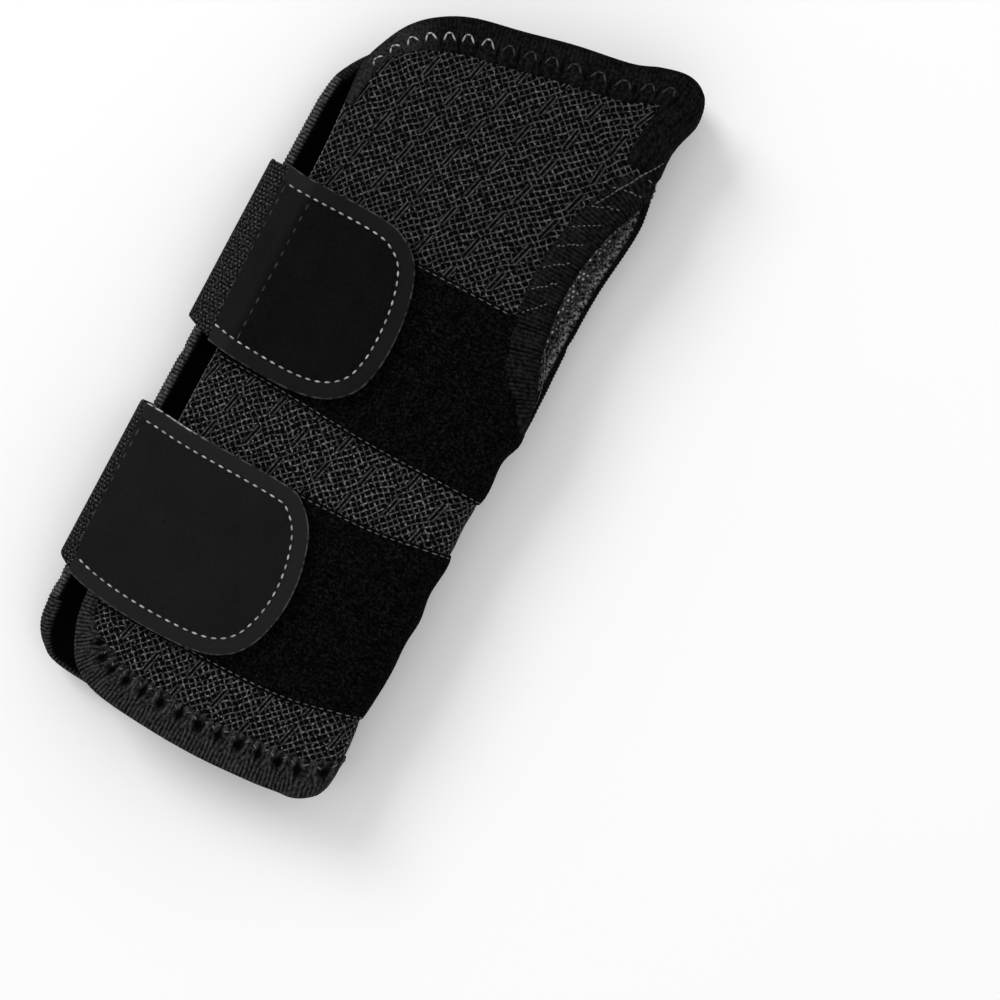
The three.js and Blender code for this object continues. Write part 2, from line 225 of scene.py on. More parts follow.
# How far out the thumb side reaches along the guard.
THUMB_SIDE = smooth(
    [(-110, 44.0), (-96, 43.6), (-60, 43.6), (-21, 43.7), (-5, 44.0), (3, 45.8), (14, 46.2), (31, 46.4)]
    + [(47, 46.9), (60, 48.0), (69, 48.0), (80, 45.3), (87, 44.9), (94, 46.4), (100, 48.5), (112, 49.8)]
)
REACH = FOLD_X + FOLD_R + HALF + 0.6


def settle(x, y, z):
    """Lets the thumb side follow its outline and the lip lean out towards the cuff."""
    out = np.interp(y, THUMB_SIDE[:, 0], THUMB_SIDE[:, 1]) / REACH
    x = np.where(x > 0, x * (1 + (out - 1) * step01(x, 0, 30)), x)
    return x + 0.008 * (y + 16) * step01(-x, 30, 42) * (z < SEAM_Z), z


wrap = Section(wrap_line, zero=SEAM, bend=settle)


def on_dorsal(x):
    """Where along the section the back-of-hand leaf is at that x."""
    upper = wrap.s > FOLD_R * 1.2
    return np.interp(-np.asarray(x, float), -wrap.line[upper, 0], wrap.s[upper])


def on_palm(x):
    lower = wrap.s < -FOLD_R * 1.2
    return np.interp(x, wrap.line[lower, 0], wrap.s[lower])


# ---------------------------------------------------------------- the wrap's flat pattern

LIP_S = wrap.s[0] + 0.4
APEX = 10.5  # how far from the seam the two corners of the fold are, along the section


def leaf_edge(points, place):
    return [(float(place(x)), y) for x, y in points]


FINGER_DORSAL = [(22.5, 102.0), (9.5, 99.3), (-3.5, 96.2), (-16.5, 93.5), (-24.6, 89.7)]
FINGER_DORSAL += [(-30.2, 84.8), (-33.9, 78.3)]
DORSAL_FREE = [(-36.2, 71), (-35.5, 60), (-34.7, 46), (-34.7, 20), (-34.9, -40), (-35.1, -78)]
CUFF_DORSAL = [(-34.6, -87), (-32.6, -94.6), (-28.6, -101.2), (-21.5, -104.8), (-8, -106.3)]
CUFF_DORSAL += [(8, -106.9), (24, -106.2)]
finger_fold = [(APEX + 6, 104.9), (APEX, 106.4), (5.2, 104.4), (0, 99.6)]
cuff_fold = [(APEX + 3, -105.4), (APEX - 1, -105.0), (4, -102.6), (0, -100.0)]
finger_fold += [(-s, y) for s, y in finger_fold[-2::-1]]
cuff_fold += [(-s, y) for s, y in cuff_fold[-2::-1]]

finger_edge = [(LIP_S + 1.8, 66), (LIP_S + 4.4, 70.4), (LIP_S + 8.0, 75.6)]
finger_edge += leaf_edge([(-32.6, 81.2), (-26.4, 86.8)], on_palm)
finger_edge += leaf_edge([(-16.5, 92.6), (-3.5, 96.2), (9.5, 99.3), (22.5, 102.0)], on_palm)
finger_edge += finger_fold[::-1] + leaf_edge(FINGER_DORSAL, on_dorsal)
dorsal_free = leaf_edge(DORSAL_FREE, on_dorsal)
cuff_edge = leaf_edge(CUFF_DORSAL, on_dorsal) + cuff_fold
cuff_edge += leaf_edge([(24, -106.2), (8, -106.9), (-8, -106.6), (-22, -106.0)], on_palm)
cuff_edge += [(LIP_S + 10.4, -104.9), (LIP_S + 5.6, -102.0), (LIP_S + 1.9, -97.0)]
cuff_edge += [(LIP_S + 0.3, -90.0)]
lip_edge = [(LIP_S + 0.2, -84), (LIP_S, -40), (LIP_S, 10), (LIP_S, 52), (LIP_S + 0.4, 60)]

finger_curve = smooth(finger_edge + dorsal_free[:2])
cuff_curve = smooth(dorsal_free[-1:] + cuff_edge)
free_curve = smooth(dorsal_free[1:])
lip_curve = smooth(cuff_edge[-1:] + lip_edge + finger_edge[:1])
wrap_loop = even(
    smooth(finger_edge + dorsal_free + cuff_edge + lip_edge, closed=True, step=1.5)[::-1], 1.6
)

# The thumb hole: a half moon let into the back-of-hand side of the fold.
thumb_loop = smooth(
    [(1.2, 8.6), (4.6, 15), (8.6, 24), (10.8, 36), (11.2, 48), (10.0, 60), (7.0, 69), (2.4, 74.2)]
    + [(-0.8, 71), (-2.4, 62), (-3.2, 50), (-3.2, 38), (-2.4, 26), (-0.6, 14)],
    closed=True,
    step=1.2,
)[::-1]

# Distance to the nearest edge, kept on a grid: the padding thins towards every edge.
GRID_S = np.arange(wrap.s[0] - 4, wrap.s[-1] + 4, 1.0)
GRID_Y = np.arange(-114, 114, 1.0)
grid_points = np.stack(np.meshgrid(GRID_S, GRID_Y, indexing="ij"), -1).reshape(-1, 2)
GRID_D = edge_distance(grid_points, [wrap_loop, thumb_loop])
GRID_D = np.where(within(grid_points, [wrap_loop, thumb_loop]), GRID_D, 0)
GRID_D = GRID_D.reshape(len(GRID_S), len(GRID_Y))


def edge_gap(s, y):
    """How far a place on the wrap is from its nearest edge."""
    i = np.clip(s - GRID_S[0], 0, len(GRID_S) - 1.001)
    j = np.clip(y - GRID_Y[0], 0, len(GRID_Y) - 1.001)
    a, b = i.astype(int), j.astype(int)
    near, far = (GRID_D[k, b] * (1 - j + b) + GRID_D[k, b + 1] * (j - b) for k in (a, a + 1))
    return near * (1 - i + a) + far * (i - a)


# Seams across the wrap between jacquard and loop, bowed where they go over the fold.
BOW = 3.6


def bowed(s):
    return BOW * np.exp(-((s / 17) ** 2))


SEAMS = {
    "hand": lambda s: 31.5 + 0 * s,
    "wrist_high": lambda s: -16.6 + 2.2 * step01(s, 25, 75),
    "wrist_low": lambda s: -35.2 + bowed(s),
    "cuff": lambda s: -85.2 + 1.3 * bowed(s),
}


def padding(s, y, n):
    """Padded cloth: thin at the edges, drawn in along the seams, with slack waves between."""
    d = edge_gap(s, y)
    thinner = 0.58 + 0.47 * (1 - np.exp(-d / 4.5)) - 1
    out = n + thinner * np.clip(n, -HALF - 0.8, HALF + 0.8)
    drawn = sum(np.exp(-(((y - seam(s)) / 1.5) ** 2)) for seam in SEAMS.values())
    waves = 0.22 * np.sin(y / 7.3 + 0.05 * s) * np.sin(s / 9.0 + y / 31)
    waves = waves + 0.12 * np.sin(y / 3.1 + s / 5.2)
    creases = 0.28 * np.exp(-((s / 16) ** 2)) * np.sin(y / 2.9 + 0.9 * np.sin(y / 8.0))
    return out + (waves + creases) * step01(d, 0, 7) - 0.32 * drawn * step01(n, 0, HALF)


wrap.relief = padding


# ---------------------------------------------------------------- meshes


def new_object(name, points, faces, flat, solid=True):
    """A mesh object. `flat` is each point's place in the cloth. A solid's faces are turned outwards."""
    points = np.asarray(points) * MM
    mesh = bpy.data.meshes.new(name)
    mesh.from_pydata(points.tolist(), [], [list(map(int, f)) for f in faces])
    mesh.update()
    corner = np.zeros(len(mesh.loops), np.int32)
    mesh.loops.foreach_get("vertex_index", corner)
    uv = (np.asarray(flat)[corner] / UV_UNIT).astype(np.float32)
    mesh.uv_layers.new(name="cloth").uv.foreach_set("vector", uv.ravel())
    if solid:
        mesh.shade_smooth()
        mesh.calc_loop_triangles()
        triangles = np.zeros(len(mesh.loop_triangles) * 3, np.int32)
        mesh.loop_triangles.foreach_get("vertices", triangles)
        a, b, c = points[triangles.reshape(-1, 3)].transpose(1, 0, 2)
        if (a * np.cross(b, c)).sum() < 0:
            mesh.flip_normals()
    piece = bpy.data.objects.new(name, mesh)
    bpy.context.collection.objects.link(piece)
    return piece


def patch(name, section, loop, top, bottom, spacing=2.0, holes=(), rim=0.6, shape=None, border=None):
    """A closed piece of cloth cut to a loop in (s, y), between two offsets from its section. Its edges are
    rounded over `rim`. `shape(s, y, d)` adds to the top, where d is the distance from the edge. The "edge"
    attribute is the distance from the border, which is the loop itself unless one is given."""
    loops = [even(np.vstack([each, each[:1]]), spacing * 0.8)[:-1] for each in (loop, *holes)]
    points, edges = [], []
    for each in loops:
        first, count = len(points), len(each)
        points += list(each)
        edges += [(first + k, first + (k + 1) % count) for k in range(count)]
    for hole, each in enumerate(loops):
        turned = each if signed_area(each) > 0 else each[::-1]
        for d in (0.12 * rim, 0.4 * rim, rim):
            ring = inset(turned, -d if hole else d)
            points += list(ring[np.abs(edge_distance(ring, loops) - d) < 0.35 * d])
    steps = [np.arange(low, high, spacing) for low, high in zip(loops[0].min(0), loops[0].max(0))]
    s, y = np.meshgrid(*steps, indexing="ij")
    y = y + (np.arange(len(s)) % 2)[:, None] * spacing / 2
    grid = np.stack([s.ravel(), y.ravel()], 1)
    grid = grid[within(grid, loops)]
    points += list(grid[edge_distance(grid, loops) > rim + 0.45 * spacing])
    coords, _, triangles, *_ = delaunay_2d_cdt([Vector(p) for p in points], edges, [], 0, 1e-5)
    at = np.array([tuple(c) for c in coords])
    triangles = np.array([t for t in triangles if len(t) == 3])
    triangles = triangles[within(at[triangles].mean(1), loops)]
    d = edge_distance(at, loops)
    from_border = d if border is None else edge_distance(at, [border])
    round_over = np.sqrt(np.clip(1 - (1 - np.clip(d / rim, 0, 1)) ** 2, 0, 1))
    middle = (top + bottom) / 2
    rise, fall = (middle + (face - middle) * round_over for face in (top, bottom))
    if shape:
        rise = rise + shape(*at.T, from_border) * round_over
    upper, lower = (section.at(*at.T, n) for n in (rise, fall))
    inner = d >= 1e-4
    below = np.where(inner, np.cumsum(inner) - 1 + len(at), np.arange(len(at)))
    faces = np.vstack([triangles, below[triangles][:, ::-1]])
    piece = new_object(name, np.vstack([upper, lower[inner]]), faces, np.vstack([at, at[inner]]))
    edge = piece.data.attributes.new("edge", "FLOAT", "POINT")
    edge.data.foreach_set("value", np.concatenate([from_border, from_border[inner]]).astype(np.float32))
    return piece


def inward(path, closed=False, soften=0):
    """The direction into the cloth at each point of an edge path that runs with the cloth on its right."""
    ahead = np.roll(path, -1, 0) - np.roll(path, 1, 0) if closed else np.gradient(path, axis=0)
    n = unit(np.stack([ahead[:, 1], -ahead[:, 0]], 1))
    return unit(softened(n, soften, closed)) if soften else n


def tubes(name, rings, flat, endless=False):
    """Tubes through rings of points, each with its two ends closed, or else run round to its start."""
    index = np.arange(rings[..., 0].size).reshape(rings.shape[:3])
    caps = [] if endless else index[:, 0, ::-1].tolist() + index[:, -1].tolist()
    if endless:
        index = np.concatenate([index, index[:, :1]], 1)
    nxt = np.roll(index, -1, 2)
    quads = np.stack([index[:, :-1], nxt[:, :-1], nxt[:, 1:], index[:, 1:]], -1).reshape(-1, 4)
    return new_object(name, rings.reshape(-1, 3), quads.tolist() + caps, flat.reshape(-1, 2))


THREAD_LIFT = 0.18
THREAD_SIDES = 6
THREAD_STEPS = 5


def thread(name, section, stitches, radius, colour):
    """Stitches lying on a section: each is (s0, y0, s1, y1, n), and dips into the cloth at both ends."""
    start, end, n = np.split(np.asarray(stitches, float), [2, 4], 1)
    t = np.linspace(0, 1, THREAD_STEPS)
    around = np.linspace(0, 2 * math.pi, THREAD_SIDES, endpoint=False)
    body = np.sin(math.pi * np.clip(t, 0.04, 0.96)) ** 0.45
    middle = start[:, None] + (end - start)[:, None] * t[:, None]
    way = unit(end - start)[:, None, None]
    side = (radius * body)[:, None] * np.cos(around)
    up = (radius * body)[:, None] * np.sin(around)
    s = middle[..., 0, None] - way[..., 1] * side
    y = middle[..., 1, None] + way[..., 0] * side
    rings = section.at(s, y, (n + THREAD_LIFT * (2 * body - 1.2))[..., None] + up)
    along = t[:, None] * 2 + np.arange(len(start))[:, None, None] * 9
    flat = np.stack(np.broadcast_arrays(along, around * 0.3), -1)
    return finished(tubes(name, rings, flat), colour)


def running(path, pitch, length, n):
    """Stitches end to end along a path."""
    at = lengths(path)
    starts = np.arange(0, at[-1] - length * 0.9, pitch)
    ends = [np.interp(t, at, path[:, k]) for t in (starts, starts + length) for k in (0, 1)]
    return np.stack([*ends, np.full(len(starts), n)], 1)


# ---------------------------------------------------------------- tape over an edge


class Edge:
    """An edge of the wrap, with the cloth on its right: t runs along it and d into the cloth."""

    def __init__(self, path, closed=False, step=0.6, soften=20):
        path = even(np.vstack([path, path[:1]]) if closed else path, step)
        self.path = path[:-1] if closed else path
        self.t = lengths(self.path)
        self.total = lengths(path)[-1]
        self.closed = closed
        self.into = inward(self.path, closed, int(soften / step))

    def at(self, t, d):
        """(s, y) of a place t along the edge and d in from it."""
        t = np.mod(t, self.total) if self.closed else np.clip(t, 0, self.total)
        q = np.stack([np.interp(t, self.t, self.path[:, k]) for k in (0, 1)], -1)
        n = np.stack([np.interp(t, self.t, self.into[:, k]) for k in (0, 1)], -1)
        return q + n * np.asarray(d, float)[..., None]

    def fitted(self, pitch):
        """A pitch near this one that fits a closed edge a whole number of times."""
        return self.total / round(self.total / pitch) if self.closed else pitch


NOSE_STEPS = 7
NOSE = 1.35  # how far a tape stands out past the edge it covers
NOSE_RUN = NOSE * math.radians(156)  # and how far it is round that nose
TAPE_TOP = HALF + 0.95
TAPE_UNDER = HALF + 0.15


def wave(edge, pitch, t):
    """1 at each multiple of the pitch along an edge and 0 between."""
    return 0.5 + 0.5 * np.cos(2 * math.pi * t / edge.fitted(pitch))


def ribs(edge, height, pitch):
    """Ribs across a tape."""
    return lambda t, d: height * wave(edge, pitch, t)


def pits(edge, pitch, d0, depth, half_width, half_depth):
    """Places where stitches pull a tape in, d0 from its edge."""
    pitch = edge.fitted(pitch)

    def shape(t, d):
        off = (t / pitch - np.floor(t / pitch) - 0.5) * pitch
        return -depth * np.exp(-((off / half_width) ** 2) - ((d - d0) / half_depth) ** 2)

    return shape


def gathers(edge, pitch, height):
    """Soft swells between stitches."""
    return lambda t, d: -height * wave(edge, pitch, t) * step01(d, 0, 3)


TAPE_LEGS = 10


def binding(name, edge, reach, back_reach, shapes, top=TAPE_TOP, cloth_grain=False):
    """Tape folded over an edge of the wrap. `reach(q)` is how far it goes in at each point q of the edge,
    and `back_reach(q)` how far on the inside. The shapes of (t, d) add to its height. Across the tape the
    flat coordinate falls from `reach` to 0 at the edge, to -NOSE_RUN round the nose, and on inside."""
    front, back = reach(edge.path), back_reach(edge.path)
    along = np.linspace(0, 1, TAPE_LEGS)
    nose = np.radians(np.linspace(78, -78, NOSE_STEPS))
    depth = np.concatenate([1 - along, np.zeros(NOSE_STEPS), along])
    none, one = np.zeros(TAPE_LEGS), np.ones(TAPE_LEGS)
    side = np.concatenate([one, np.sin(nose), -one])
    round_ = np.concatenate([none, np.cos(nose), none])
    tuck = np.clip(depth - 0.88, 0, 0.12) / 0.12
    run = np.concatenate([none, NOSE * (nose - nose[0]), -NOSE_RUN * one])

    def ring(rise, out, outer):
        d = np.where(side >= 0, depth * front[:, None], depth * back[:, None]) - out * round_
        t = np.broadcast_to(edge.t[:, None], d.shape)
        lumps = sum((shape(t, d) for shape in shapes), np.zeros(d.shape))
        n = side * (rise + outer * (lumps - (top - TAPE_UNDER) * 0.9 * tuck))
        q = edge.path[:, None] + edge.into[:, None] * d[..., None]
        across = np.sign(side) * depth * np.where(side > 0, front[:, None], back[:, None]) + run
        flat = q if cloth_grain else np.stack([t, across], -1)
        return wrap.at(q[..., 0], q[..., 1], n), flat

    outside, flat_out = ring(top, NOSE, 1.0)
    inside_, flat_in = ring(TAPE_UNDER, 0.6, 0.0)
    rings = np.concatenate([outside, inside_[:, ::-1]], 1)
    flat = np.concatenate([flat_out, flat_in[:, ::-1]], 1)
    piece = tubes(name, rings[None], flat[None], edge.closed)
    return piece


def edge_thread(name, edge, marks, sunk, radius, colour):
    """Sewing thread along (t0, d0, t1, d1) marks on an edge's tape, sunk a little into it."""
    t0, d0, t1, d1 = np.asarray(marks, float).T
    rows = np.column_stack([edge.at(t0, d0), edge.at(t1, d1), np.full(len(t0), TAPE_TOP - sunk)])
    return on_wrap(thread(name, wrap, rows, radius, colour))


# ---------------------------------------------------------------- the straps' section

STRAP_LIFT = 4.1
WEB_HALF = 0.6
TAB_TOP = 1.45
STRAP_FOLD = (-46.9, 12.5)
ROOT_X = -16.0

on_top = on_dorsal(np.linspace(-36.5, 18, 60))
laid = np.stack([np.interp(on_top, wrap.s, wrap.line[:, k]) for k in (0, 1)], 1)
laid += STRAP_LIFT * np.stack([np.interp(on_top, wrap.s, wrap.normal[:, k]) for k in (0, 1)], 1)
strap_line = np.vstack(
    [
        [(ROOT_X, 3.1)],
        bezier((-34, 3.1), (-42.8, 3.1), (-46.9, 5.5), STRAP_FOLD),
        bezier(STRAP_FOLD, (-46.9, 17.0), (laid[0, 0] - 4, laid[0, 1] - 2.2), laid[0])[1:],
        laid[1:],
    ]
)


def strap_lean(x, y, z):
    """The lower strap goes round its fold a little further out."""
    return x - 0.5 * step01(-y, 20, 34) * step01(-x, 38, 45), z


strap = Section(strap_line, zero=STRAP_FOLD, soften=4, bend=strap_lean, outward=-1)


def on_strap(x):
    upper = strap.s > 0
    return np.interp(x, strap.line[upper, 0], strap.s[upper])


STRAPS = {
    "upper": {
        "outline": [(-46.9, 38.7), (-40.0, 38.6), (-34.7, 37.9), (-12.6, 37.3), (-4.8, 34.9), (0.4, 29.9)]
        + [(3.6, 20.8), (4.8, 10.4), (4.3, 1.3), (1.8, -5.8), (-4.0, -10.8), (-12.6, -13), (-24.3, -13)]
        + [(-36, -11.9), (-46.0, -8.4)],
        "tab": -39.7,
        "rows": [-31.5],
    },
    "lower": {
        "outline": [(-47.3, -33.2), (-40.0, -33.4), (-29.5, -34.2), (-3.5, -34.9), (3.0, -36.9)]
        + [(8.2, -42.9), (11.2, -52), (12.1, -60.4), (11.2, -68.9), (8.2, -76.7), (3, -81.6)]
        + [(-4.5, -83.9), (-16.5, -84.5), (-29.5, -83.9), (-39.9, -82.2), (-46.9, -79.0)],
        "tab": -43.4,
        "rows": [],
    },
}


def strap_loop(curve, start, lean=0.0):
    """The part of a strap's outline beyond a start line, which leans by `lean` at each end."""
    ends = curve[[0, -1], 1]
    line = start - lean * (curve[:, 1] - ends.mean()) / (np.ptp(ends) / 2)
    beyond = curve[:, 0] >= line
    keep = curve[beyond]
    keep[[0, -1], 0] = line[beyond][[0, -1]]
    return keep[::-1]


def hem_row(outline, d):
    """A strap's open outline moved inwards by d."""
    return outline + inward(outline, soften=3) * d


# ---------------------------------------------------------------- node maths


def wired(tree, kind, inputs, output=0, **settings):
    """A new node's output. Each of its inputs is a value, a socket or a Field."""
    node = tree.nodes.new(kind)
    for key, value in settings.items():
        setattr(node, key, value)
    for key, value in inputs.items():
        source = getattr(value, "socket", value)
        if isinstance(source, bpy.types.NodeSocket):
            tree.links.new(source, node.inputs[key])
        else:
            node.inputs[key].default_value = source
    return node.outputs[output]


class Field:
    """A number that varies over a surface, made of Math nodes."""

    def __init__(self, tree, socket):
        self.tree, self.socket = tree, socket

    def maths(self, operation, *others):
        inputs = dict(enumerate((self, *others)))
        return Field(self.tree, wired(self.tree, "ShaderNodeMath", inputs, operation=operation))

    __add__ = __radd__ = partialmethod(maths, "ADD")
    __mul__ = __rmul__ = partialmethod(maths, "MULTIPLY")
    __sub__ = partialmethod(maths, "SUBTRACT")
    __truediv__ = partialmethod(maths, "DIVIDE")
    floor = partialmethod(maths, "FLOOR")
    fract = partialmethod(maths, "FRACT")
    size = partialmethod(maths, "ABSOLUTE")
    most = partialmethod(maths, "MAXIMUM")
    to_power = partialmethod(maths, "POWER")

    def __rsub__(self, other):
        return self * -1.0 + other

    def ramp(self, low, high):
        """0 at low and 1 at high, smooth between; low may be above high."""
        ends = (low, high, 0.0, 1.0) if low < high else (high, low, 1.0, 0.0)
        inputs = dict(zip(("From Min", "From Max", "To Min", "To Max"), ends), Value=self)
        smoothly = {"interpolation_type": "SMOOTHSTEP"}
        return Field(self.tree, wired(self.tree, "ShaderNodeMapRange", inputs, "Result", **smoothly))

    def triangle(self):
        """0 at whole numbers and 1 half way between."""
        return ((self.fract() - 0.5).size() * -2.0) + 1.0


MATERIALS = {}  # by the name that each was made with


class Cloth:
    """A material's node tree, with the cloth's flat coordinates in millimetres."""

    def __init__(self, name, color, roughness, specular, metallic=0.0):
        material = MATERIALS[name] = bpy.data.materials.new(name)
        material.use_nodes = True
        self.tree = material.node_tree
        self.shader = self.tree.nodes["Principled BSDF"].inputs
        self.shader["Base Color"].default_value = color
        self.shader["Roughness"].default_value = roughness
        self.shader["Specular IOR Level"].default_value = specular
        self.shader["Metallic"].default_value = metallic
        uv = wired(self.tree, "ShaderNodeUVMap", {}, uv_map="cloth")
        self.s, self.y = (
            self.field("ShaderNodeSeparateXYZ", {0: uv}, axis) * UV_UNIT for axis in ("X", "Y")
        )

    def field(self, kind, inputs, output=0, **settings):
        return Field(self.tree, wired(self.tree, kind, inputs, output, **settings))

    def flat(self, s, y):
        """A vector of two fields."""
        return wired(self.tree, "ShaderNodeCombineXYZ", {"X": s, "Y": y})

    def noise(self, scale, detail=2.0, vector=None, rough=0.5):
        """Noise with features about 1/scale of a millimetre across, from 0 to 1."""
        vector = vector or self.flat(self.s, self.y)
        inputs = {"Scale": scale, "Detail": detail, "Roughness": rough, "Vector": vector}
        return self.field("ShaderNodeTexNoise", inputs)

    def cells(self, scale):
        """Distance from the middle of scattered cells."""
        inputs = {"Scale": scale, "Vector": self.flat(self.s, self.y)}
        return self.field("ShaderNodeTexVoronoi", inputs, "Distance")

    def attribute(self, name):
        return self.field("ShaderNodeAttribute", {}, "Fac", attribute_name=name)

    def colour(self, amount, dark, light):
        """Runs the colour from dark to light as the amount goes from 0 to 1."""
        inputs = {"Factor": amount, 6: dark, 7: light}
        mixed = wired(self.tree, "ShaderNodeMix", inputs, 2, data_type="RGBA")
        self.tree.links.new(mixed, self.shader["Base Color"])
        return mixed

    def rough(self, field):
        self.tree.links.new(field.socket, self.shader["Roughness"])

    def relief(self, height, millimetres):
        """Bumps the surface by a height from 0 to 1."""
        inputs = {"Strength": 1.0, "Distance": millimetres * MM, "Height": height}
        self.tree.links.new(wired(self.tree, "ShaderNodeBump", inputs), self.shader["Normal"])


def grey(value):
    return (value, value, value * 1.04, 1)


# ---------------------------------------------------------------- materials


def jacquard_cloth():
    """An open diamond mesh of pale threads over black, with short raised double ribs and painted glints."""
    c = Cloth("jacquard", grey(0.02), 0.8, 0.02)
    wander = (c.noise(0.16, 1.0) - 0.5) * 1.7
    wobble = (c.noise(0.6, 2.0) - 0.5) * 0.95
    s, y = c.s + wander + wobble, c.y + wander * 0.6 - wobble
    pitch = 1.48
    diagonal = 2**0.5 * pitch
    one = ((s + y) / diagonal).triangle()
    two = ((s - y) / diagonal).triangle()
    thread_one = one.ramp(0.43, 0.13)
    thread_two = two.ramp(0.43, 0.13)
    mesh = thread_one.most(thread_two)
    knots = thread_one * thread_two
    column = c.s / 10.0 + c.y * 0.0245
    along = ((c.y / 9.2) + column.floor() * 0.5).fract() - 0.5
    across = (column.fract() - 0.5).size() * 10.0
    on_rib = along.size().ramp(0.34, 0.27)
    ridge = (across - 0.55).size().ramp(0.36, 0.08) * on_rib
    rib_area = across.ramp(1.1, 0.85) * on_rib
    weave = mesh * (1.0 - rib_area)
    strength = c.noise(0.5, 3.0, rough=0.7).ramp(0.36, 0.66)
    # Painted highlights: glints painted on the threads, made stronger on the wrist and cuff panels below.
    glints = c.noise(1.3, 2.0).ramp(0.53, 0.68)
    painted_glint_gain = 0.55 + c.y.ramp(-10, -20) * 0.75
    amount = weave * (0.03 + 0.33 * strength) + ridge * (0.1 + 0.26 * strength)
    amount = amount + knots * 0.08 + glints * (weave + ridge * 0.5) * painted_glint_gain
    c.colour(amount, grey(0.0008), grey(0.17))
    c.relief(weave * 0.8 + ridge * 0.75 + knots * 0.2, 0.4)


def velour_cloth():
    """Brushed loop: deep black, with a fine broken grain."""
    c = Cloth("velour", grey(0.004), 1.0, 0.01)
    pile = c.noise(1.0, 4.0, rough=0.8)
    tufts = c.noise(0.28, 3.0, rough=0.65)
    specks = c.noise(1.5, 2.0, rough=0.6).ramp(0.55, 0.7)
    amount = pile.ramp(0.42, 0.68) * (0.1 + 0.5 * tufts.ramp(0.3, 0.6)) + specks * 0.5
    c.colour(amount, grey(0.0006), grey(0.015))
    c.relief(pile * 0.8 + tufts * 0.7, 0.6)


RIB = 1.05  # from one wale of the tape to the next
FINGER_PITCH = 5.7  # from one stitch that pulls a tape in to the next
CUFF_PITCH = 5.8
THUMB_PITCH = 6.0


def tape_knit(name, light, wale, pulls=None, worn_from=None, nose=1.0, ridge=0.0, facing_at=NOSE_RUN):
    """Knitted tape: wales across it and a soft grain, with painted shade where its stitches pull it in.
    `pulls` gives their pitch, distance from the edge, half width and half length. The wales fan in to each
    pull. The tape is worn pale after `worn_from` along it, and its first wales carry a painted highlight.
    The inside from `facing_at` round the nose is a plain facing painted near black, which in the lip's
    channel also paints the shade there; a `ridge` makes it a pale ridge."""
    c = Cloth(name, grey(light * 0.6), 0.92, 0.02)
    grain = c.noise(1.1, 3.0, rough=0.7)
    along = c.s + (c.noise(0.9, 1.0) - 0.5) * 0.5
    if pulls:
        pitch, middle, half_width, half_length = pulls
        off = (c.s / pitch).fract() - 0.5
        along = along - off * c.y.ramp(1.5, 7.0) * (pitch * 0.5)
    wales = (along / RIB + 0.5).triangle()
    amount = wales.to_power(1.5) * wale * grain.ramp(0.25, 0.6) + grain.ramp(0.42, 0.75) * 0.4
    amount = amount + c.noise(0.25, 2.0).ramp(0.45, 0.75) * 0.15
    if pulls:
        # Painted shade in the pits where the stitches pull the tape in.
        from_pull = off.size() * (pitch / half_width) + (c.y - middle).size() / half_length
        amount = amount * from_pull.ramp(0.35, 1.2)
    if worn_from:
        amount = amount + c.s.ramp(worn_from, worn_from + 12) * grain.ramp(0.3, 0.6) * 0.7
        # Painted highlight on the first wales, carrying on the lip rim's highlight.
        amount = amount + c.s.ramp(26.0, 8.0) * wales * grain.ramp(0.25, 0.6)
    amount = amount * (nose + c.y.ramp(-0.4, 0.4) * (1.0 - nose))
    # The inside is painted near black: a facing, and in the lip's channel also the shade there.
    facing = c.y.ramp(-facing_at + 0.5, -facing_at - 0.5)
    shade = c.colour(amount * (1.0 - facing), grey(0.0012), grey(light))
    if ridge:
        c.colour(facing * grain.ramp(0.4, 0.7) * ridge, shade, grey(0.4))
    c.relief(wales * 0.5 + grain * 0.6, 0.25)


def nubuck_leather(name, shade, root, corner=None):
    """Charcoal microfibre, paler along the border and by `root` near the fold, and worn, with a painted
    highlight, at the very edge, which is almost white by the `corner`, a height on the guard."""
    c = Cloth(name, grey(0.014), 0.93, 0.02)
    nap = c.noise(0.09, 3.0, rough=0.55)
    fibres = c.noise(0.9, 5.0, rough=0.8)
    border = c.attribute("edge").ramp(4.7, 3.5)
    # Wear and a painted highlight along the very edge; the highlight is painted almost white by the corner.
    edge_wear_and_highlight = c.attribute("edge").ramp(0.5, 0.12) * c.noise(0.5, 3.0).ramp(0.35, 0.65)
    near_fold = c.s.ramp(19.5, 16.5)
    amount = nap * 0.05 + fibres * 0.1 + border * 0.055 + near_fold * root + edge_wear_and_highlight * 0.8 + (shade - 0.04)
    colour = c.colour(amount, grey(0.0015), grey(0.085))
    if corner:
        near = c.s.ramp(26.0, 20.0) * c.y.ramp(corner - 1.5, corner - 0.5)
        c.colour(edge_wear_and_highlight * near, colour, grey(0.5))
    c.relief(fibres, 0.14)


def elastic_knit():
    """A coarse ribbed elastic: rows of small loops."""
    c = Cloth("elastic", grey(0.02), 0.9, 0.02)
    row = c.y / 1.1
    loops = ((c.s / 1.3) + row.floor() * 0.5 + (c.noise(0.7, 2.0) - 0.5) * 1.3).triangle()
    rows = row.triangle()
    grain = c.noise(1.6, 3.0, rough=0.7)
    knots = (loops * rows).ramp(0.15, 0.7)
    amount = knots * 0.5 * grain.ramp(0.3, 0.6) + grain.ramp(0.48, 0.75) * 0.5
    c.colour(amount, grey(0.002), grey(0.13))
    c.relief(knots * 0.9 + grain * 0.5, 0.4)


def sewing_thread(name, pale):
    """Twisted polyester sewing thread, each stitch paler or darker at random as a painted glint."""
    c = Cloth(name, grey(pale), 0.65, 0.08)
    twist = ((c.s * 1.4) + (c.y * 3.0)).triangle()
    # Each stitch is paler or darker at random: painted glints on some stitches.
    each = c.noise(0.35, 0.0).ramp(0.35, 0.65)
    c.colour(twist * 0.3 + each * 0.7, grey(pale * 0.45), grey(pale))
    c.relief(twist, 0.1)


